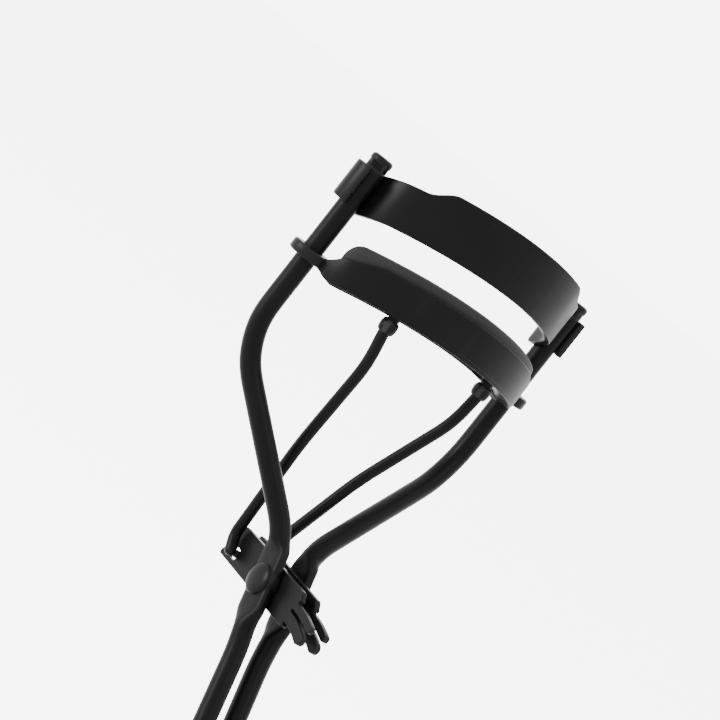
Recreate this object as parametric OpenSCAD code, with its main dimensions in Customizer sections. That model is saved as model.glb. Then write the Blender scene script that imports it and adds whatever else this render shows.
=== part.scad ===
// Eyelash curler: two wire arms turn in the rolled sleeves of a fixed upper jaw, and a padded lower
// jaw slides on their upright stretches, pushed by two thin links from a riveted rocking bracket.
// X runs across the jaws, +Z up along the guides, -Y to the bulging front of the jaws.
// The origin is the middle of the upper jaw's pressing edge.

/* [Jaws] */
// Distance between the two guide axes
guide_gap = 44; // [42:1:46]
// How far the middle of the jaws bulges in front of the guides
jaw_bulge = 11.6; // [11:0.1:12]
// Slope of the jaws' edges, rising to the front
jaw_tilt = 18.6; // [17:0.1:20]
// Thickness of the upper jaw's plate
plate_t = 1.2; // [1:0.1:1.4]
// Height of the upper jaw's plate in its middle
plate_h = 8.5; // [8:0.1:9]
// Open gap between the pad and the upper jaw
jaw_gap = 4.1; // [4:0.1:4.4]
// Height of the pad above its holder
pad_rise = 1.9; // [1.6:0.1:2.2]
// Width of the pad
pad_w = 2.4; // [2:0.1:2.6]
// Height of the pad holder's walls
holder_h = 5.1; // [4.8:0.1:5.4]
// Thickness of the pad holder's walls
holder_wall = 0.8; // [0.7:0.1:0.9]

/* [Arms] */
// Diameter of the heavy wire
wire_d = 3.2; // [3:0.1:3.3]
// Diameter of the thin link wire
link_d = 1.8; // [1.6:0.1:1.9]
// Lean of the handles towards the front
handle_lean = 24; // [22:1:26]
// Inner diameter of a finger loop
loop_d = 23; // [21:1:25]
// Distance from the rivet to the middle of a finger loop, along the handle
loop_drop = 44; // [43:1:48]

/* [Bracket] */
// Thickness of a bracket leaf
leaf_t = 1.0; // [0.8:0.1:1.1]
// Height of a bracket leaf
leaf_h = 5.8; // [5.6:0.1:6]
// Diameter of a rivet's domed head
rivet_head_d = 5; // [4.6:0.1:5.2]

/* [Hidden] */
$fn = 64;
eps = 0.01;
guide_x = guide_gap / 2;
wire_r = wire_d / 2;
link_r = link_d / 2;
turn_gap = 0.05;                                   // running clearance of a wire in a bore

// Both jaws follow one arc through the guides, bulging to the front
arc_r = (guide_x * guide_x + jaw_bulge * jaw_bulge) / (2 * jaw_bulge);
arc_y = arc_r - jaw_bulge;

// Heights below the tops of the guides, measured at the guides (Y = 0)
bite_z = -8.3;
pad_top_z = bite_z - jaw_gap;
holder_top_z = pad_top_z - pad_rise;
holder_floor_z = holder_top_z - holder_h;
bite_mid_z = bite_z + jaw_bulge * tan(jaw_tilt);

// Upper jaw
plate_reach = 20.8;                                // half width of the plate between its sleeves
plate_step = 1.6;                                  // drop of the top edge beside each sleeve
plate_step_in = 13;                                // where that drop starts and ends
plate_step_out = 16.6;
sleeve_r = wire_r + 1.15;
sleeve_top_z = -1.6;
sleeve_bottom_z = -7.7;
sleeve_slot = 2.2;                                 // the rolled sleeve is open to the front
stub_top = 0.6;                                    // slightly swelled end of the guide above the sleeve
stub_low = -0.5;
stub_r = wire_r + 0.15;

// Lower jaw
ear_r = 3.1;
ear_top_z = -15.8;
ear_bottom_z = -17.5;
holder_reach = 20.4;
holder_sag = 1;                                    // its top edge sinks a little towards the ends
holder_sag_from = 14.5;
holder_taper = 18.4;                               // where it starts to narrow to its ears
holder_w = pad_w + 2 * holder_wall + 0.1;
pad_reach = 19.4;
pad_floor = 1.3;

// Pegs of the links, in holes through the holder's floor
peg_x = 10.2;
peg_y = arc_y - sqrt(arc_r * arc_r - peg_x * peg_x);
peg_floor_z = holder_floor_z - peg_y * tan(jaw_tilt);
peg_top_z = peg_floor_z + pad_floor - 0.6;
collar_top_z = peg_floor_z - 0.62;
collar_h = 2.1;
collar_r = 1.4;

// Arms: the neck line runs down through the rivets, leaning to the front
guide_bend_z = -32;
guide_cut = 6.5;                                   // start of the bend below the straight guide
rivet_y = -14.1;
rivet_z = -57.7;
rivet_r = 1.2;
flat_in = 2.1;                                     // inner face of the flattened stretch
flat_t = 1.8;
flat_w = 4.6;
flat_mid = flat_in + flat_t / 2;
flat_top = 5.4;                                    // flattened stretch above and below the rivet
flat_low = 7.4;
neck_x = 3.6;
neck_up = 7.8;
handle_x = 2.4;                                    // the handles run side by side below the neck
loop_x = 2.75;
loop_r = loop_d / 2 + wire_r;
loop_turn = 337.5;                                 // the loop ends just short of its own shank

// Bracket leaves lie between the two flattened stretches
leaf_in = flat_in - leaf_t - 0.1;
leaf_rise = 0.3;                                   // the leaf's middle lies above the rivet
leaf_back = 14.3;                                  // reach behind and in front of the rivet
leaf_front = 8.4;
leaf_slant = 1.7;                                  // slope of the leaf's back end
leaf_snip = 1.1;                                   // cut off the upper front corner
foot_back = 10.6;                                  // foot of the link, from the rivet
foot_drop = 0.8;
slot_from = 10.7;                                  // ends of the slot that the foot's tip moves in
slot_to = 11.7;
slot_drop = 0.91;
slot_h = 1.9;
claw_r = 22;                                       // upper claw: centre line, width and sweep
claw_w = 1.2;
claw_z = 1;
claw_sweep = 14.5;
finger_r = 15.5;                                   // lower claw
finger_w = 1.8;
finger_z = -0.9;
finger_sweep = 19;
tail_r = 1.8;
tail_t = 0.26;

// Link rods: peg, upper bend, lower bend, and the foot whose tip stands in the leaf's slot
link_top = [peg_x, peg_y, collar_top_z - collar_h];
link_upper = [9.3, -10.0, -24];
link_lower = [6.2, -4.9, -39.5];
link_foot = [3.2, -1.9, -56.4];
link_end = [link_foot.x, rivet_y + foot_back, rivet_z - foot_drop];
link_tip_x = 0.75;
link_tip_r = 0.6;                                  // the wire is turned down at its tip

function unit(v) = v / norm(v);
// Point of the neck line, a distance below the rivet measured along the handle
function on_neck(x, s) = [x, rivet_y - s * sin(handle_lean), rivet_z - s * cos(handle_lean)];
function eased(t) = (1 - cos(180 * min(1, max(0, t)))) / 2;

// Rounded corner at b: points of a curve that leaves both legs at the distance cut
function corner(a, b, c, cut, steps) = [for (i = [0:steps])
    let (t = i / steps, p = b + unit(a - b) * cut, q = b + unit(c - b) * cut)
    p * (1 - t) * (1 - t) + b * 2 * t * (1 - t) + q * t * t];
// Ring i of a tube: half thickness h.x across, half width h.y, and h.z from round (1) to boxy (0.5)
function ring(p, dir, h, up, sides) =
    let (u = unit(cross(dir, up)), v = cross(u, dir))
    [for (k = [0:sides - 1])
        let (c = cos(360 * (k + 0.5) / sides), s = sin(360 * (k + 0.5) / sides))
        p + u * h.x * sign(c) * pow(abs(c), h.z) + v * h.y * sign(s) * pow(abs(s), h.z)];
function heading(pts, i) = unit(pts[min(i + 1, len(pts) - 1)] - pts[max(i - 1, 0)]);

// The row's origin is the middle of the upper jaw's edge; all modules draw from the guides' tops
module placed() {
    translate([0, jaw_bulge, -bite_mid_z])
        children();
}

module mirrored() {
    mirror([1, 0, 0])
        children();
}

// A wire swept along pts, with a section from halves at each point
module tube(pts, halves, up, sides) {
    rings = len(pts);
    skin = [for (i = [0:rings - 1]) each ring(pts[i], heading(pts, i), halves[i], up, sides)];
    walls = [for (i = [0:rings - 2], k = [0:sides - 1])
        let (a = i * sides + k, b = i * sides + (k + 1) % sides)
        each [[a, b, b + sides], [a, b + sides, a + sides]]];
    first = [[for (k = [sides - 1:-1:0]) k]];
    last = [[for (k = [0:sides - 1]) (rings - 1) * sides + k]];
    polyhedron(points = skin, faces = concat(first, walls, last), convexity = 10);
}

// Wall of width w standing on the jaws' arc
module arc_wall(w, bottom, top) {
    translate([0, arc_y, bottom])
        difference() {
            cylinder(h = top - bottom, r = arc_r + w / 2, $fn = 180);
            translate([0, 0, -1])
                cylinder(h = top - bottom + 2, r = arc_r - w / 2, $fn = 180);
        }
}

// Solid front slab between the sloping heights low and high, half_w to each side
module tilted_slab(half_w, low, high) {
    rotate([-jaw_tilt, 0, 0])
        translate([-half_w, -jaw_bulge - 8, low * cos(jaw_tilt)])
            cube([2 * half_w, jaw_bulge + 10, (high - low) * cos(jaw_tilt)]);
}

plate_top = [for (i = [0:10])
    let (t = i / 10)
    [plate_step_in + t * (plate_step_out - plate_step_in), plate_h - plate_step * eased(t)]];

module plate_outline() {
    polygon(concat([[-plate_reach, 0], [plate_reach, 0], [plate_reach, plate_h - plate_step]],
                   [for (i = [10:-1:0]) plate_top[i]],
                   [for (i = [0:10]) [-plate_top[i].x, plate_top[i].y]],
                   [[-plate_reach, plate_h - plate_step]]));
}

module guide_bore(r) {
    for (side = [-1, 1])
        translate([side * guide_x, 0, -60])
            cylinder(h = 80, r = r);
}

module upper_jaw() {
    color([0.07, 0.07, 0.08])
        placed()
            difference() {
                union() {
                    intersection() {
                        arc_wall(plate_t, -20, 20);
                        rotate([-jaw_tilt, 0, 0])
                            translate([0, 2, bite_z * cos(jaw_tilt)])
                                rotate([90, 0, 0])
                                    linear_extrude(height = jaw_bulge + 12)
                                        plate_outline();
                    }
                    for (side = [-1, 1])
                        translate([side * guide_x, 0, sleeve_bottom_z])
                            cylinder(h = sleeve_top_z - sleeve_bottom_z, r = sleeve_r);
                }
                guide_bore(wire_r + turn_gap);
                for (side = [-1, 1])
                    translate([side * (guide_x + 0.4) - sleeve_slot / 2, -sleeve_r - 1, -20])
                        cube([sleeve_slot, sleeve_r + 1, 40]);
            }
}

// The right arm: guide, slanting shoulder, flattened eye, handle and finger loop in one wire
guide_end = [guide_x, 0, guide_bend_z];
shoulder = on_neck(neck_x, -neck_up);
eye_in = on_neck(flat_mid, -flat_top);
eye_out = on_neck(flat_mid, flat_low - 2);
grip = on_neck(handle_x, flat_low + 3);
loop_start = on_neck(loop_x, loop_drop);
loop_path = [for (a = [0:7.5:loop_turn])
    on_neck(loop_x + loop_r - loop_r * cos(a), loop_drop + loop_r * sin(a))];
arm_path = concat(
    [[guide_x, 0, guide_bend_z + guide_cut + 1]],
    corner([guide_x, 0, 0], guide_end, shoulder, guide_cut, 8),
    corner(guide_end, shoulder, eye_in, 2.6, 5),
    [for (s = [-flat_top:1:flat_low - 3.4]) on_neck(flat_mid, s)],
    corner(on_neck(flat_mid, 0), eye_out, grip, 1.0, 2),
    corner(eye_out, grip, loop_start, 2.0, 4),
    [for (s = [loop_drop - 20:5:loop_drop - 5])
        on_neck(handle_x + (loop_x - handle_x) * (s - flat_low - 5) / (loop_drop - flat_low - 5), s)],
    loop_path);

// How far the wire is flattened at p: 1 around the rivet, 0 away from it
function flatness(p) =
    let (s = (rivet_z - p.z) / cos(handle_lean))
    (s < 0) ? eased((s + flat_top + 1.4) / 2.4) : 1 - eased((s - flat_low + 3.4) / 3.4);
function arm_half(p) =
    let (f = flatness(p), r = (p.z > guide_bend_z + guide_cut - 0.5) ? wire_r * 0.985 : wire_r)
    [r + f * (flat_t / 2 - 0.03 - r), r + f * (flat_w / 2 - r), 1 - 0.45 * f];

module arm_shape() {
    difference() {
        union() {
            translate([guide_x, 0, guide_bend_z + guide_cut])
                cylinder(h = -guide_bend_z - guide_cut, r = wire_r);
            translate([guide_x, 0, stub_low])
                cylinder(h = stub_top - 0.4 - stub_low, r = stub_r);
            translate([guide_x, 0, stub_top - 0.41])
                cylinder(h = 0.41, r1 = stub_r, r2 = stub_r - 0.35);
            tube(arm_path, [for (p = arm_path) arm_half(p)], [0, -cos(handle_lean), sin(handle_lean)], 16);
            translate([flat_mid - flat_t / 2, rivet_y, rivet_z])
                rotate([0, 90, 0])
                    cylinder(h = flat_t, r = flat_w / 2 + 0.4);
        }
        translate([-1, rivet_y, rivet_z])
            rotate([0, 90, 0])
                cylinder(h = 8, r = rivet_r);
    }
}

module right_arm() {
    color([0.06, 0.06, 0.07])
        placed()
            arm_shape();
}

module left_arm() {
    color([0.06, 0.06, 0.07])
        placed()
            mirrored()
                arm_shape();
}

// Rivet: a thin tail behind the leaf, a shank through leaf and arm, and a domed head on the arm
module rivet_shape() {
    head_x = flat_in + flat_t;
    tail_x = leaf_in - 0.05 - tail_t;
    head_r1 = rivet_head_d / 2;
    dome = 0.8;
    dome_r = (head_r1 * head_r1 + dome * dome) / (2 * dome);
    translate([0, rivet_y, rivet_z])
        rotate([0, 90, 0]) {
            translate([0, 0, tail_x])
                cylinder(h = tail_t, r = tail_r);
            translate([0, 0, tail_x + eps])
                cylinder(h = head_x - tail_x, r = rivet_r);
            intersection() {
                translate([0, 0, head_x + dome - dome_r])
                    sphere(r = dome_r);
                translate([0, 0, head_x])
                    cylinder(h = dome + 1, r = head_r1);
            }
        }
}

module rivet_right() {
    color([0.09, 0.09, 0.1])
        placed()
            rivet_shape();
}

module rivet_left() {
    color([0.09, 0.09, 0.1])
        placed()
            mirrored()
                rivet_shape();
}

holder_end_low = ear_bottom_z - holder_floor_z;
holder_end_high = ear_top_z - holder_floor_z + 0.2;
holder_xs = [for (x = [holder_sag_from:0.6:holder_reach]) x, holder_reach];
function taper_at(x) = eased((x - holder_taper) / (holder_reach - holder_taper));
function sagged(x) = holder_h - holder_sag * eased((x - holder_sag_from) / (holder_taper - holder_sag_from));
holder_edge = concat(
    [for (x = holder_xs) [x, taper_at(x) * holder_end_low]],
    [for (i = [len(holder_xs) - 1:-1:0])
        let (x = holder_xs[i])
        [x, sagged(x) + taper_at(x) * (holder_end_high - sagged(x))]]);

// Front view of the holder: both its edges run in to the ears
module holder_outline() {
    polygon(concat(holder_edge,
                   [for (i = [len(holder_edge) - 1:-1:0]) [-holder_edge[i].x, holder_edge[i].y]]));
}

module lower_jaw() {
    color([0.08, 0.08, 0.09])
        placed()
            difference() {
                union() {
                    intersection() {
                        arc_wall(holder_w, -30, 0);
                        rotate([-jaw_tilt, 0, 0])
                            translate([0, 4, holder_floor_z * cos(jaw_tilt)])
                                rotate([90, 0, 0])
                                    linear_extrude(height = jaw_bulge + 14)
                                        holder_outline();
                    }
                    for (side = [-1, 1])
                        translate([side * guide_x, 0, ear_bottom_z])
                            cylinder(h = ear_top_z - ear_bottom_z, r = ear_r);
                }
                intersection() {
                    arc_wall(pad_w, -30, 0);
                    tilted_slab(pad_reach, holder_floor_z + pad_floor, holder_top_z + 4);
                }
                guide_bore(wire_r + 0.08);
                for (side = [-1, 1])
                    translate([side * peg_x, peg_y, peg_floor_z - 3])
                        cylinder(h = 6, r = link_r + 0.09);
            }
}

module pad() {
    color([0.16, 0.16, 0.17])
        placed()
            intersection() {
                arc_wall(pad_w - 0.02, -30, 0);
                tilted_slab(pad_reach - 0.02, holder_floor_z + pad_floor, pad_top_z);
            }
}

// Thin link: a peg in the holder's floor, a twice bent rod, and a foot with its tip in the leaf's slot
link_path = concat(
    [link_top],
    corner(link_top, link_upper, link_lower, 2.6, 5),
    corner(link_upper, link_lower, link_foot, 3.2, 5),
    corner(link_lower, link_foot, link_end, 0.8, 3),
    [link_end]);

module link_shape() {
    tube(link_path, [for (p = link_path) [link_r, link_r, 1]], [0, -1, 0], 12);
    translate(link_top - [0, 0, 0.25])
        cylinder(h = peg_top_z - link_top.z + 0.25, r = link_r + eps);
    translate(link_end)
        sphere(r = link_r + 0.05);
    translate([link_tip_x, link_end.y, link_end.z])
        rotate([0, 90, 0])
            cylinder(h = link_end.x - link_tip_x, r = link_tip_r);
}

module collar_shape() {
    translate(link_top)
        difference() {
            cylinder(h = collar_h, r = collar_r);
            translate([0, 0, -1])
                cylinder(h = collar_h + 2, r = link_r + eps);
        }
}

module link_collar_right() {
    color([0.08, 0.08, 0.09])
        placed()
            collar_shape();
}

module link_collar_left() {
    color([0.08, 0.08, 0.09])
        placed()
            mirrored()
                collar_shape();
}

module link_rod_right() {
    color([0.07, 0.07, 0.08])
        placed()
            link_shape();
}

module link_rod_left() {
    color([0.07, 0.07, 0.08])
        placed()
            mirrored()
                link_shape();
}

// Curved claw in the leaf's plane, from straight up at its root down to the front
module claw(r, w, sweep) {
    rotate([0, 0, 90])
        rotate_extrude(angle = sweep)
            translate([r - w / 2, 0])
                square([w, leaf_t]);
    rotate([0, 0, 90 + sweep])
        translate([r, 0, 0])
            cylinder(h = leaf_t, r = w / 2 + 0.08);
}

// Leaf drawn flat: its X is the row's Y and its Y is the row's Z, both from the rivet
module leaf_shape() {
    low = leaf_rise - leaf_h / 2;
    high = leaf_rise + leaf_h / 2;
    translate([leaf_in, rivet_y, rivet_z])
        rotate([90, 0, 90])
            difference() {
                union() {
                    linear_extrude(height = leaf_t)
                        polygon([[-leaf_front, low], [leaf_back, low], [leaf_back - leaf_slant, high],
                                 [leaf_snip - leaf_front, high], [-leaf_front, high - leaf_snip]]);
                    translate([0.3 - leaf_front, claw_z - claw_r, 0])
                        claw(claw_r, claw_w, claw_sweep);
                    translate([0.3 - leaf_front, finger_z - finger_r, 0])
                        claw(finger_r, finger_w, finger_sweep);
                }
                translate([0, 0, -1])
                    cylinder(h = leaf_t + 2, r = rivet_r + turn_gap);
                for (end = [slot_from, slot_to])
                    translate([end, -slot_drop, -1])
                        cylinder(h = leaf_t + 2, r = slot_h / 2);
                translate([slot_from, 0.05 - slot_h / 2 - slot_drop, -1])
                    cube([slot_to - slot_from, slot_h - 0.1, leaf_t + 2]);
            }
}

module bracket_leaf_right() {
    color([0.12, 0.12, 0.13])
        placed()
            leaf_shape();
}

module bracket_leaf_left() {
    color([0.12, 0.12, 0.13])
        placed()
            mirrored()
                leaf_shape();
}

upper_jaw();
left_arm();
right_arm();
rivet_left();
rivet_right();
lower_jaw();
pad();
link_rod_left();
link_rod_right();
link_collar_left();
link_collar_right();
bracket_leaf_left();
bracket_leaf_right();
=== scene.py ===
import math

import bmesh
import bpy
from mathutils import Matrix, Vector


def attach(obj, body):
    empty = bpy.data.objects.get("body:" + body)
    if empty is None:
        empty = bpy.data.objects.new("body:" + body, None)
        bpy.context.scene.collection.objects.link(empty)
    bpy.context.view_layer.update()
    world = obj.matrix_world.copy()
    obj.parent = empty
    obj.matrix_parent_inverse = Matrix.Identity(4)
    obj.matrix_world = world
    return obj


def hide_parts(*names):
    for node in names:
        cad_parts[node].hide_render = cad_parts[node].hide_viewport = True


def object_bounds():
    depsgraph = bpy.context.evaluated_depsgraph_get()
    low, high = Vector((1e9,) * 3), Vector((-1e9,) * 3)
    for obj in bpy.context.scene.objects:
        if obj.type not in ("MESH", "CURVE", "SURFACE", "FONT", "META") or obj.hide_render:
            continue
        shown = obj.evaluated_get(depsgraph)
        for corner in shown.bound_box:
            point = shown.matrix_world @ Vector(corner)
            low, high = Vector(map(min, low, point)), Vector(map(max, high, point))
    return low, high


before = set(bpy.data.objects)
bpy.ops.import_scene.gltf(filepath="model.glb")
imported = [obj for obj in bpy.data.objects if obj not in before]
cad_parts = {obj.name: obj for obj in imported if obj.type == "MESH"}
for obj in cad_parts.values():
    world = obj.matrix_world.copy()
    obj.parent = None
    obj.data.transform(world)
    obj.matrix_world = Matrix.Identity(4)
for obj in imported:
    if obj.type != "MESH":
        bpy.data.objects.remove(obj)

CAD_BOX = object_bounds()
MM = 0.001

# Jaws
GUIDE_X = 22.0
BULGE = 11.6
TILT = math.radians(18.6)
ARC_R = (GUIDE_X ** 2 + BULGE ** 2) / (2 * BULGE)
ARC_Y = ARC_R - BULGE
BITE_Z = -8.3
RISE = -BITE_Z - BULGE * math.tan(TILT)
PLATE_T = 1.2
PLATE_H = 8.5
PLATE_STEP = 1.6
SLEEVE_TOP = -1.6
SLEEVE_BOTTOM = -7.7
PAD_TOP = BITE_Z - 4.1
HOLDER_TOP = PAD_TOP - 1.9
HOLDER_FLOOR = HOLDER_TOP - 5.1
EAR_TOP = -15.8
EAR_BOTTOM = -17.5
EAR_R = 3.1
PAD_W = 2.4
HOLDER_W = 4.1
PAD_REACH = 19.4

# Arms
WIRE_R = 1.6
LEAN = math.radians(24)
RIVET = Vector((0, -14.1, -57.7))
FLAT_MID = 3.0
FLAT_T = 1.8
FLAT_W = 4.6
FLAT_TOP = 5.4
FLAT_LOW = 7.4
LOOP_R = 13.1
LOOP_DROP = 44.0
LOOP_X = 2.75
LOOP_SWEEP = 337.5
LOOP_STEPS = 135

# Bracket and links
LEAF_IN = 1.0
LEAF_T = 1.0
LEAF_LOW = -2.6
LEAF_HIGH = 3.2
LEAF_HOLE_R = 1.3
SLOT_FRONT = 10.7
SLOT_BACK = 11.7
SLOT_DROP = 0.91
SLOT_R = 0.95
LINK_R = 0.9
PEG_X = 10.2
PEG_Y = ARC_Y - math.sqrt(ARC_R ** 2 - PEG_X ** 2)
PEG_FLOOR = HOLDER_FLOOR - PEG_Y * math.tan(TILT)
COLLAR_H = 2.1
COLLAR_DROP = 0.62
LINK_TOP = Vector((PEG_X, PEG_Y, PEG_FLOOR - COLLAR_DROP - COLLAR_H))
LINK_UPPER = Vector((9.3, -10.0, -24))
LINK_LOWER = Vector((6.2, -4.9, -39.5))
LINK_FOOT = Vector((3.2, -1.9, -56.4))
LINK_END = Vector((3.2, RIVET.y + 10.6, RIVET.z - 0.8))

# Camera: where it stands from the guides' tops (mm), which way it looks (degrees) and its lens (mm)
CAMERA_AT = Vector((-276.8, -375.5, 16.4))
LOOK_AZIMUTH = 36.05
LOOK_DOWN = 5.11
CAMERA_ROLL = 38.2
LENS = 160.0


def place(p):
    """A point given in millimetres from the guides' tops, in metres from the upper jaw's edge."""
    return Vector((p[0], p[1] + BULGE, p[2] + RISE)) * MM


def smooth_step(t):
    t = min(1.0, max(0.0, t))
    return (1 - math.cos(math.pi * t)) / 2


def neck(x, s):
    """A point on the line down the handles, s below the rivet."""
    return Vector((x, RIVET.y - s * math.sin(LEAN), RIVET.z - s * math.cos(LEAN)))


def corner(a, b, c, cut, steps=10):
    """Points of a rounded corner at b."""
    p = b + (a - b).normalized() * cut
    q = b + (c - b).normalized() * cut
    out = []
    for i in range(steps + 1):
        t = i / steps
        out.append(p * (1 - t) ** 2 + b * 2 * t * (1 - t) + q * t * t)
    return out


def even(points, step):
    """The same route with points about one step apart."""
    out = [points[0].copy()]
    for a, b in zip(points, points[1:]):
        count = max(1, round((b - a).length / step))
        out += [a.lerp(b, (i + 1) / count) for i in range(count)]
    return out


def relaxed(points, passes):
    """The route with its kinks smoothed, its ends kept."""
    for _ in range(passes):
        inner = [(points[i - 1] + points[i] * 2 + points[i + 1]) / 4 for i in range(1, len(points) - 1)]
        points = [points[0]] + inner + [points[-1]]
    return points


# ---------------------------------------------------------------- materials

def nodes_of(name):
    mat = bpy.data.materials.new(name)
    mat.use_nodes = True
    tree = mat.node_tree
    return mat, tree, tree.nodes["Principled BSDF"]


def noise(tree, coord, scale, detail=4.0, rough=0.55):
    node = tree.nodes.new("ShaderNodeTexNoise")
    node.inputs["Scale"].default_value = scale
    node.inputs["Detail"].default_value = detail
    node.inputs["Roughness"].default_value = rough
    tree.links.new(coord, node.inputs["Vector"])
    return node.outputs["Fac"]


def ramp(tree, value, stops):
    node = tree.nodes.new("ShaderNodeValToRGB")
    first, last = node.color_ramp.elements[0], node.color_ramp.elements[-1]
    first.position, last.position = stops[0][0], stops[-1][0]
    first.color = (*stops[0][1], 1)
    last.color = (*stops[-1][1], 1)
    tree.links.new(value, node.inputs["Fac"])
    return node.outputs["Color"]


def mixed(tree, factor, a, color):
    """The colour a, turned to one fixed colour where the factor is high."""
    node = tree.nodes.new("ShaderNodeMix")
    node.data_type = "RGBA"
    tree.links.new(factor, node.inputs["Factor"])
    tree.links.new(a, node.inputs["A"])
    node.inputs["B"].default_value = (*color, 1)
    return node.outputs["Result"]


def bumped(tree, shader, heights):
    """Stacks bumps: each is a height, its strength and its distance."""
    previous = None
    for height, strength, distance in heights:
        node = tree.nodes.new("ShaderNodeBump")
        node.inputs["Strength"].default_value = strength
        node.inputs["Distance"].default_value = distance
        tree.links.new(height, node.inputs["Height"])
        if previous:
            tree.links.new(previous, node.inputs["Normal"])
        previous = node.outputs["Normal"]
    tree.links.new(previous, shader.inputs["Normal"])


RUBBED_METAL = (0.03, 0.03, 0.031)


def black_coat(name, tone, rough_low, rough_high, worn=0.16):
    """Satin black paint on metal: fine orange peel, uneven gloss and lighter rubbed edges."""
    mat, tree, shader = nodes_of(name)
    coord = tree.nodes.new("ShaderNodeTexCoord").outputs["Object"]
    cloud = noise(tree, coord, 90, 5)
    peel = noise(tree, coord, 2600, 3)
    speck = noise(tree, coord, 5200, 2, 0.7)
    base = ramp(tree, cloud, [(0.3, [tone * c for c in (0.85, 0.87, 0.92)]),
                              (0.75, [tone * c for c in (1.2, 1.2, 1.24)])])
    edge = tree.nodes.new("ShaderNodeNewGeometry").outputs["Pointiness"]
    rubbed = ramp(tree, edge, [(0.52, (0, 0, 0)), (0.64, (worn, worn, worn))])
    tree.links.new(mixed(tree, rubbed, base, RUBBED_METAL), shader.inputs["Base Color"])
    gloss = tree.nodes.new("ShaderNodeMapRange")
    gloss.inputs["To Min"].default_value = rough_low
    gloss.inputs["To Max"].default_value = rough_high
    tree.links.new(cloud, gloss.inputs["Value"])
    tree.links.new(gloss.outputs["Result"], shader.inputs["Roughness"])
    shader.inputs["Metallic"].default_value = 0.0
    shader.inputs["IOR"].default_value = 1.5
    shader.inputs["Specular IOR Level"].default_value = 0.022
    bumped(tree, shader, [(peel, 0.11, 0.00006), (speck, 0.08, 0.00003)])
    return mat


def pad_rubber():
    """Dark grey silicone rubber: matt, faintly mottled, with fine moulding grain."""
    mat, tree, shader = nodes_of("pad_rubber_grey")
    coord = tree.nodes.new("ShaderNodeTexCoord").outputs["Object"]
    cloud = noise(tree, coord, 160, 4)
    grain = noise(tree, coord, 3800, 3, 0.6)
    color = ramp(tree, cloud, [(0.3, (0.0030, 0.0030, 0.0031)), (0.75, (0.0048, 0.0048, 0.0049))])
    tree.links.new(color, shader.inputs["Base Color"])
    gloss = tree.nodes.new("ShaderNodeMapRange")
    gloss.inputs["To Min"].default_value = 0.58
    gloss.inputs["To Max"].default_value = 0.76
    tree.links.new(cloud, gloss.inputs["Value"])
    tree.links.new(gloss.outputs["Result"], shader.inputs["Roughness"])
    shader.inputs["Specular IOR Level"].default_value = 0.05
    bumped(tree, shader, [(grain, 0.3, 0.00005)])
    return mat


def paper(name, tone):
    mat, _, shader = nodes_of(name)
    shader.inputs["Base Color"].default_value = (tone, tone, tone, 1)
    shader.inputs["Roughness"].default_value = 0.9
    return mat


JAW = black_coat("jaw_satin_black", 0.0009, 0.32, 0.42)
WIRE = black_coat("wire_matt_black", 0.0007, 0.34, 0.46)
LEAF = black_coat("bracket_satin_black", 0.0010, 0.30, 0.42, worn=0.24)
RIVETS = black_coat("rivet_satin_black", 0.0011, 0.28, 0.40)
RUBBER = pad_rubber()


# ---------------------------------------------------------------- meshes

def piece(name, bm, material, body, node):
    """Makes the mesh a named piece of the object that moves with a body."""
    bmesh.ops.recalc_face_normals(bm, faces=bm.faces[:])
    mesh = bpy.data.meshes.new(name)
    bm.to_mesh(mesh)
    bm.free()
    obj = bpy.data.objects.new(name, mesh)
    bpy.context.scene.collection.objects.link(obj)
    mesh.materials.append(material)
    for face in mesh.polygons:
        face.use_smooth = True
    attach(obj, body)
    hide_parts(node)
    return obj


def skin(bm, rings, closed=False):
    """Quads between rings of points given in millimetres, with its ends capped or closed."""
    made = [[bm.verts.new(place(p)) for p in ring] for ring in rings]
    count = len(made[0])
    pairs = list(zip(made, made[1:]))
    if closed:
        pairs.append((made[-1], made[0]))
    for a, b in pairs:
        for k in range(count):
            bm.faces.new((a[k], a[(k + 1) % count], b[(k + 1) % count], b[k]))
    if not closed:
        bm.faces.new(made[0][::-1])
        bm.faces.new(made[-1])


def sweep(bm, points, half_of, up, sides=28):
    """A wire along points; half_of gives half thickness, half width and how boxy the section is."""
    rings = []
    for i, p in enumerate(points):
        heading = (points[min(i + 1, len(points) - 1)] - points[max(i - 1, 0)]).normalized()
        u = heading.cross(up).normalized()
        v = u.cross(heading)
        across, wide, power = half_of(i, p)
        ring = []
        for k in range(sides):
            angle = 2 * math.pi * (k + 0.5) / sides
            c, s = math.cos(angle), math.sin(angle)
            ring.append(p + u * across * math.copysign(abs(c) ** power, c)
                        + v * wide * math.copysign(abs(s) ** power, s))
        rings.append(ring)
    skin(bm, rings)


def lathe(bm, origin, axis, profile, steps=40):
    """Turns a profile of (height along the axis, radius) about it."""
    axis = Vector(axis).normalized()
    side = axis.orthogonal().normalized()
    other = axis.cross(side)
    rings = []
    for height, radius in profile:
        ring = []
        for k in range(steps):
            angle = 2 * math.pi * k / steps
            ring.append(origin + axis * height + (side * math.cos(angle) + other * math.sin(angle)) * radius)
        rings.append(ring)
    skin(bm, rings)


def mirror_x(bm, side):
    if side < 0:
        bmesh.ops.scale(bm, vec=(-1, 1, 1), verts=bm.verts[:])


def arc_point(angle):
    """A point of the jaws' arc, by its angle from the middle."""
    return Vector((ARC_R * math.sin(angle), ARC_Y - ARC_R * math.cos(angle), 0))


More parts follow.
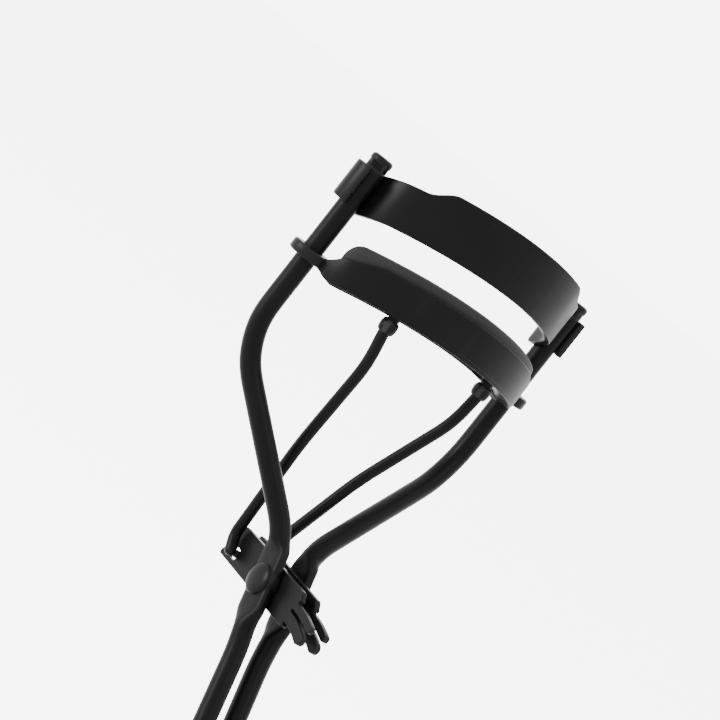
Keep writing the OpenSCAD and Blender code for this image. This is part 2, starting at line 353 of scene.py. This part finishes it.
def jaw_route(step=0.3):
    """Plan of the upper jaw's sheet: along the arc, behind each guide and round to its outer side."""
    leave = math.radians(40)
    curl_r = 2.26
    steps = round(2 * leave * ARC_R / step)
    middle = [arc_point(-leave + 2 * leave * i / steps) for i in range(steps + 1)]
    guide = Vector((GUIDE_X, 0, 0))
    start, stop = math.radians(165), math.radians(-42)
    touch = guide + Vector((math.cos(start), math.sin(start), 0)) * curl_r
    pull = (touch - middle[-1]).length * 0.36
    out = middle[-1] + Vector((math.cos(leave), math.sin(leave), 0)) * pull
    back = touch - Vector((math.sin(start), -math.cos(start), 0)) * pull
    bend = []
    for i in range(1, 25):
        t = i / 24
        bend.append(middle[-1] * (1 - t) ** 3 + out * 3 * t * (1 - t) ** 2
                    + back * 3 * t * t * (1 - t) + touch * t ** 3)
    turns = round((start - stop) * curl_r / step)
    curl = []
    for i in range(1, turns + 1):
        angle = start + (stop - start) * i / turns
        curl.append(guide + Vector((math.cos(angle), math.sin(angle), 0)) * curl_r)
    right = bend + curl
    left = [Vector((-p.x, p.y, 0)) for p in reversed(right)]
    return left + middle + right


def sheet_ring(p, normal, half, low, high, soft):
    """Rounded upright section of a sheet at p, with its lower and upper edges at low and high."""
    ring = []
    steps = 4
    for (du, z, start) in ((1, low, -90), (1, high, 0), (-1, high, 90), (-1, low, 180)):
        for i in range(steps + 1):
            angle = math.radians(start + 90 * i / steps)
            cu = du * (half - soft)
            cz = z + (soft if z == low else -soft)
            ring.append(p + normal * (cu + soft * math.cos(angle))
                        + Vector((0, 0, cz + soft * math.sin(angle))))
    return ring


def normal_at(route, i):
    ahead = (route[min(i + 1, len(route) - 1)] - route[max(i - 1, 0)]).normalized()
    return Vector((ahead.y, -ahead.x, 0))


# ---------------------------------------------------------------- pieces

def upper_jaw():
    """One bent sheet: a curved plate whose ends narrow and roll into open sleeves."""
    route = jaw_route()
    rings = []
    for i, p in enumerate(route):
        side = abs(p.x)
        low = BITE_Z - p.y * math.tan(TILT)
        high = low + PLATE_H - PLATE_STEP * smooth_step((side - 13.0) / 3.6)
        along = smooth_step((p.y - 0.6) / 1.6) if side < GUIDE_X else 1.0
        low = low + (SLEEVE_BOTTOM - low) * along
        high = high + (SLEEVE_TOP - high) * along
        rings.append(sheet_ring(p, normal_at(route, i), PLATE_T / 2 - 0.02, low, high, 0.22))
    bm = bmesh.new()
    skin(bm, rings)
    piece("upper_jaw_plate", bm, JAW, "upper_jaw", "upper_jaw")


def holder_edges(x, slope):
    """Heights of the holder's lower and upper edge: it sinks a little, then narrows into its rings."""
    t = smooth_step((abs(x) - 18.6) / 2.3)
    sag = smooth_step((abs(x) - 14.5) / 4.0)
    low = (HOLDER_FLOOR + slope) * (1 - t) + (EAR_BOTTOM + 0.06) * t
    high = (HOLDER_TOP + slope - sag) * (1 - t) + (EAR_TOP - 0.06) * t
    return low, high


def lower_jaw():
    """The holder: a front wall that narrows into a flat ring at each guide, a floor and a back wall."""
    wall = 0.42
    outline = []
    reach = math.asin(20.7 / ARC_R)
    steps = 170
    for i in range(steps + 1):
        angle = -reach + 2 * reach * i / steps
        mid = arc_point(angle)
        n = Vector((math.sin(angle), -math.cos(angle), 0))
        inward = smooth_step((abs(mid.x) - 17.2) / 3.6)
        at = mid + n * (HOLDER_W / 2 - wall) * (1 - 0.62 * inward)
        low, high = holder_edges(mid.x, -at.y * math.tan(TILT))
        outline.append(sheet_ring(at, n, wall, low, high, 0.2))
    bm = bmesh.new()
    skin(bm, outline)
    reach = math.asin(19.9 / ARC_R)
    steps = 120
    inner, floor = [], []
    for i in range(steps + 1):
        angle = -reach + 2 * reach * i / steps
        mid = arc_point(angle)
        n = Vector((math.sin(angle), -math.cos(angle), 0))
        inward = smooth_step((abs(mid.x) - 17.2) / 3.6)
        at = mid - n * (HOLDER_W / 2 - wall) * (1 - 0.4 * inward)
        low, high = holder_edges(mid.x, -at.y * math.tan(TILT))
        inner.append(sheet_ring(at, n, wall, low, high - 0.3 * inward, 0.2))
        low, high = holder_edges(mid.x, -mid.y * math.tan(TILT))
        half = (HOLDER_W / 2 - 0.1) * (1 - 0.42 * inward)
        floor.append(sheet_ring(mid, n, half, low + 0.03, low + 1.25, 0.15))
    skin(bm, inner)
    skin(bm, floor)
    for side in (-1, 1):
        centre = Vector((side * GUIDE_X, 0, 0))
        ring = [(EAR_BOTTOM, 1.85), (EAR_BOTTOM, EAR_R - 0.3), (EAR_BOTTOM + 0.1, EAR_R - 0.1),
                (EAR_BOTTOM + 0.3, EAR_R - 0.02), (EAR_TOP - 0.3, EAR_R - 0.02), (EAR_TOP - 0.1, EAR_R - 0.1),
                (EAR_TOP, EAR_R - 0.3), (EAR_TOP, 1.85), (EAR_TOP - 0.15, 1.68), (EAR_BOTTOM + 0.15, 1.68)]
        rings = []
        for i in range(56):
            a = 2 * math.pi * i / 56
            rings.append([centre + Vector((r * math.cos(a), r * math.sin(a), z)) for z, r in ring])
        skin(bm, rings, closed=True)
    piece("lower_jaw_holder", bm, JAW, "lower_jaw", "lower_jaw")


def pad():
    """Rubber strip with a rounded crown and rounded ends, standing in the holder."""
    reach = math.asin((PAD_REACH - 0.05) / ARC_R)
    steps = 130
    rings = []
    for i in range(steps + 1):
        angle = -reach + 2 * reach * i / steps
        mid = arc_point(angle)
        n = Vector((math.sin(angle), -math.cos(angle), 0))
        from_end = (reach - abs(angle)) * ARC_R
        round_end = math.sqrt(max(0.02, 1 - (1 - min(1.0, from_end / 1.9)) ** 2))
        top = PAD_TOP - mid.y * math.tan(TILT) - 1.9 * (1 - round_end)
        bottom = HOLDER_FLOOR + 1.35 - mid.y * math.tan(TILT)
        half = (PAD_W / 2 - 0.03) * (0.55 + 0.45 * round_end)
        ring = []
        right_half = [(1, bottom), (1, bottom + 3.0), (1, top - 1.5), (0.93, top - 0.65),
                      (0.8, top - 0.28), (0.55, top - 0.08), (0.25, top)]
        for u, z in right_half + [(-u, z) for u, z in reversed(right_half)]:
            ring.append(mid + n * half * u + Vector((0, 0, z)))
        rings.append(ring)
    bm = bmesh.new()
    skin(bm, rings)
    obj = piece("pad_strip", bm, RUBBER, "lower_jaw", "pad")


def arm_route():
    guide_end = Vector((GUIDE_X, 0, -32))
    shoulder = neck(3.6, -7.8)
    eye_in = neck(FLAT_MID, -FLAT_TOP)
    eye_out = neck(FLAT_MID, FLAT_LOW - 2)
    grip = neck(2.4, FLAT_LOW + 3)
    tangent = neck(LOOP_X, LOOP_DROP)
    top = Vector((GUIDE_X, 0, -1.35))
    route = [top]
    route += corner(top, guide_end, shoulder, 6.5, 16)
    route += corner(guide_end, shoulder, eye_in, 2.6, 10)
    route += corner(neck(FLAT_MID, 0), eye_out, grip, 1.0, 4)
    route += corner(eye_out, grip, tangent, 2.0, 8)
    for i in range(LOOP_STEPS + 1):
        a = math.radians(LOOP_SWEEP * i / LOOP_STEPS)
        route.append(neck(LOOP_X + LOOP_R - LOOP_R * math.cos(a), LOOP_DROP + LOOP_R * math.sin(a)))
    return relaxed(even(route, 0.5), 6)


def flatness(p):
    s = (RIVET.z - p.z) / math.cos(LEAN)
    if s < 0:
        return smooth_step((s + FLAT_TOP + 1.4) / 2.4)
    return 1 - smooth_step((s - FLAT_LOW + 3.4) / 3.4)


def arm(side, body, node):
    route = arm_route()
    ends = len(route) - 1

    def half_of(i, p):
        f = flatness(p)
        near_end = min(i, ends - i) * 0.5
        blunt = math.sqrt(max(0.03, 1 - (1 - min(1.0, near_end / 0.9)) ** 2)) if i > ends / 2 else 1.0
        across = WIRE_R + f * (FLAT_T / 2 - 0.02 - WIRE_R)
        wide = WIRE_R + f * (FLAT_W / 2 + 0.25 - WIRE_R)
        return across * blunt, wide * blunt, 1 - 0.5 * f

    bm = bmesh.new()
    sweep(bm, route, half_of, Vector((0, -math.cos(LEAN), math.sin(LEAN))))
    eye_r = FLAT_W / 2 + 0.4
    low = FLAT_MID - FLAT_T / 2
    lathe(bm, Vector((0, RIVET.y, RIVET.z)), (1, 0, 0),
          [(low, eye_r - 0.25), (low + 0.05, eye_r - 0.1), (low + 0.25, eye_r), (low + FLAT_T - 0.25, eye_r),
           (low + FLAT_T - 0.05, eye_r - 0.1), (low + FLAT_T, eye_r - 0.25)])
    lathe(bm, Vector((GUIDE_X, 0, 0)), (0, 0, 1),
          [(-1.5, 1.56), (-1.3, 1.6), (-0.56, 1.6), (-0.48, 1.68), (-0.38, 1.74), (0.14, 1.74), (0.32, 1.69),
           (0.48, 1.55), (0.57, 1.36), (0.6, 1.2), (0.6, 0.1)])
    mirror_x(bm, side)
    piece("arm_wire_" + node.split("_")[0], bm, WIRE, body, node)


def rivet(side, body, node):
    """Tail behind the leaf, shank through leaf and arm, and a low domed head on the arm."""
    bm = bmesh.new()
    tail = LEAF_IN - 0.31
    head = FLAT_MID + FLAT_T / 2
    profile = [(tail, 0.1), (tail, 1.6), (tail + 0.05, 1.76), (tail + 0.14, 1.8),
               (tail + 0.26, 1.78), (tail + 0.27, 1.15), (head - 0.02, 1.15),
               (head, 2.36), (head + 0.08, 2.48), (head + 0.18, 2.46)]
    for i in range(1, 10):
        t = math.radians(9 * i)
        profile.append((head + 0.18 + 0.6 * math.sin(t), 2.46 * math.cos(t) ** 0.9))
    profile.append((head + 0.79, 0.05))
    lathe(bm, Vector((0, RIVET.y, RIVET.z)), (1, 0, 0), profile, 56)
    mirror_x(bm, side)
    piece("rivet_head_" + node.split("_")[1], bm, RIVETS, body, node)


def link(side, body, node):
    """Thin wire with a straight peg above, two gentle bends and a rounded foot with a thin tip."""
    peg = Vector((PEG_X, PEG_Y, PEG_FLOOR + 0.6))
    route = [peg, LINK_TOP]
    route += corner(LINK_TOP, LINK_UPPER, LINK_LOWER, 2.6, 12)
    route += corner(LINK_UPPER, LINK_LOWER, LINK_FOOT, 3.2, 12)
    route += corner(LINK_LOWER, LINK_FOOT, LINK_END, 0.8, 6)
    low = LINK_END + (LINK_END - LINK_FOOT).normalized() * 0.85
    route.append(low)
    route = relaxed(even(route, 0.25), 5)
    ends = len(route) - 1

    def half_of(i, p):
        blunt = math.sqrt(max(0.03, 1 - (1 - min(1.0, (ends - i) * 0.25 / 0.85)) ** 2))
        return LINK_R * blunt, LINK_R * blunt, 1.0

    bm = bmesh.new()
    sweep(bm, route, half_of, Vector((0, -1, 0)), 22)
    lathe(bm, Vector((0.75, LINK_END.y, LINK_END.z)), (1, 0, 0),
          [(0, 0.1), (0, 0.46), (0.06, 0.55), (0.16, 0.59), (2.3, 0.59), (2.3, 0.1)], 28)
    mirror_x(bm, side)
    piece("link_wire_" + node.split("_")[-1], bm, WIRE, body, node)


def collar(side, body, node):
    """Crimped collar at the top of a link, under the holder's floor."""
    bm = bmesh.new()
    ring = [(0.02, 0.96), (0, 1.04), (0.1, 1.17), (0.35, 1.3), (0.75, 1.38), (1.15, 1.4), (1.5, 1.37),
            (COLLAR_H - 0.3, 1.28), (COLLAR_H - 0.08, 1.14), (COLLAR_H, 1.02), (COLLAR_H - 0.02, 0.96),
            (COLLAR_H - 0.1, 0.91), (0.1, 0.91)]
    rings = []
    for i in range(44):
        a = 2 * math.pi * i / 44
        rings.append([LINK_TOP + Vector((r * math.cos(a), r * math.sin(a), z)) for z, r in ring])
    skin(bm, rings, closed=True)
    mirror_x(bm, side)
    piece("crimp_" + node.split("_")[-1], bm, RIVETS, body, node)


def turned(centre, radius, start, stop, steps):
    """Points of an arc in a leaf's own plane, angles in degrees."""
    out = []
    for i in range(steps + 1):
        a = math.radians(start + (stop - start) * i / steps)
        out.append((centre[0] + radius * math.cos(a), centre[1] + radius * math.sin(a)))
    return out


def claw_outline(centre, radius, width, sweep_angle):
    half = width / 2
    a = math.radians(90 + sweep_angle)
    tip = (centre[0] + radius * math.cos(a), centre[1] + radius * math.sin(a))
    outline = turned(centre, radius + half, 90, 90 + sweep_angle, 14)
    outline += turned(tip, half, 90 + sweep_angle, 270 + sweep_angle, 8)[1:-1]
    outline += turned(centre, radius - half, 90 + sweep_angle, 90, 12)
    return outline


def leaf_outline():
    """Outline of a leaf round its rivet: slanted back end, snipped front corner, two curved claws."""
    outline = turned((13.85, LEAF_LOW + 0.4), 0.4, -90, 10, 6)
    outline += turned((12.3, LEAF_HIGH - 0.45), 0.4, 10, 90, 6)
    outline += turned((-7.1, LEAF_HIGH - 0.5), 0.5, 90, 135, 4)
    outline += turned((-7.95, 1.9), 0.45, 140, 175, 4)
    outline += claw_outline((-8.1, -21.0), 22.0, 1.2, 14.5)
    outline += [(-7.95, 0.32), (-7.85, 0.2), (-7.95, 0.06)]
    outline += claw_outline((-8.1, -16.4), 15.5, 1.8, 19)
    outline += turned((-8.05, -2.3), 0.32, 130, 270, 6)
    return outline


def leaf(side, body, node):
    """A flat leaf with a round rivet hole, a slot behind and two curved claws in front, edges rounded."""
    data = bpy.data.curves.new(node + "_plan", "CURVE")
    data.dimensions = "2D"
    data.fill_mode = "BOTH"
    soft = 0.14
    data.extrude = (LEAF_T / 2 - soft) * MM
    data.bevel_depth = soft * MM
    data.bevel_resolution = 3
    data.offset = -soft * MM
    slot_hole = turned((SLOT_BACK, -SLOT_DROP), SLOT_R, -90, 90, 12)
    slot_hole += turned((SLOT_FRONT, -SLOT_DROP), SLOT_R, 90, 270, 12)
    for loop in (leaf_outline(), turned((0, 0), LEAF_HOLE_R, 0, 348, 29), slot_hole):
        spline = data.splines.new("POLY")
        spline.points.add(len(loop) - 1)
        for point, (a, b) in zip(spline.points, loop):
            point.co = (a * MM, b * MM, 0, 1)
        spline.use_cyclic_u = True
    flat = bpy.data.objects.new(node + "_plan", data)
    bpy.context.scene.collection.objects.link(flat)
    bpy.context.view_layer.update()
    mesh = bpy.data.meshes.new_from_object(flat.evaluated_get(bpy.context.evaluated_depsgraph_get()))
    bpy.data.objects.remove(flat)
    bm = bmesh.new()
    bm.from_mesh(mesh)
    bpy.data.meshes.remove(mesh)
    bmesh.ops.remove_doubles(bm, verts=bm.verts[:], dist=1e-6)
    centre = place((LEAF_IN + LEAF_T / 2, RIVET.y, RIVET.z))
    turn = Matrix(((0, 0, 1, centre.x), (1, 0, 0, centre.y), (0, 1, 0, centre.z), (0, 0, 0, 1)))
    bmesh.ops.transform(bm, matrix=turn, verts=bm.verts[:])
    mirror_x(bm, side)
    obj = piece("bracket_plate_" + node.split("_")[-1], bm, LEAF, body, node)
    for face in obj.data.polygons:
        face.use_smooth = abs(face.normal.x) < 0.999


upper_jaw()
lower_jaw()
pad()
for side, word in ((-1, "left"), (1, "right")):
    arm(side, word + "_arm", word + "_arm")
    rivet(side, word + "_arm", "rivet_" + word)
    link(side, word + "_link", "link_rod_" + word)
    collar(side, word + "_link", "link_collar_" + word)
    leaf(side, word + "_leaf", "bracket_leaf_" + word)


# ---------------------------------------------------------------- stage, light and camera

def camera_axes():
    """The camera's right, up and backward directions."""
    azimuth, down, roll = (math.radians(v) for v in (LOOK_AZIMUTH, LOOK_DOWN, CAMERA_ROLL))
    ahead = Vector((math.sin(azimuth) * math.cos(down), math.cos(azimuth) * math.cos(down), -math.sin(down)))
    level = Vector((math.cos(azimuth), -math.sin(azimuth), 0))
    above = level.cross(ahead)
    right = level * math.cos(roll) + above * math.sin(roll)
    up = above * math.cos(roll) - level * math.sin(roll)
    return right, up, -ahead


def add_camera():
    right, up, back = camera_axes()
    data = bpy.data.cameras.new("camera")
    data.lens = LENS
    data.sensor_width = 36
    data.clip_start = 0.01
    data.clip_end = 20
    obj = bpy.data.objects.new("camera", data)
    turn = Matrix((right, up, back)).transposed().to_4x4()
    turn.translation = place(CAMERA_AT)
    obj.matrix_world = turn
    bpy.context.scene.collection.objects.link(obj)
    bpy.context.scene.camera = obj


def add_light(name, right_part, up_part, back_part, distance, size, power):
    """A soft square lamp placed by the camera's directions and aimed at the jaws."""
    right, up, back = camera_axes()
    target = place((0, -6, -35))
    way = (right * right_part + up * up_part + back * back_part).normalized()
    data = bpy.data.lights.new(name, "AREA")
    data.size = size
    data.energy = power
    obj = bpy.data.objects.new(name, data)
    obj.location = target + way * distance
    obj.rotation_mode = "QUATERNION"
    obj.rotation_quaternion = way.to_track_quat("Z", "Y")
    bpy.context.scene.collection.objects.link(obj)


def add_floor():
    low = CAD_BOX[0].z
    bm = bmesh.new()
    bmesh.ops.create_circle(bm, cap_ends=True, segments=96, radius=6)
    bmesh.ops.translate(bm, vec=(0, 0, low), verts=bm.verts[:])
    mesh = bpy.data.meshes.new("floor")
    bm.to_mesh(mesh)
    bm.free()
    floor = bpy.data.objects.new("floor", mesh)
    mesh.materials.append(paper("floor_paper", 0.93))
    bpy.context.scene.collection.objects.link(floor)


def add_world():
    world = bpy.data.worlds.new("studio")
    world.use_nodes = True
    backdrop = world.node_tree.nodes["Background"]
    backdrop.inputs["Color"].default_value = (1, 1, 1, 1)
    backdrop.inputs["Strength"].default_value = 7.0
    bpy.context.scene.world = world


add_camera()
add_world()
add_floor()
add_light("key", -0.75, 0.8, 0.45, 0.6, 0.22, 14)
add_light("fill", 0.9, 0.1, 0.7, 0.8, 0.3, 4)
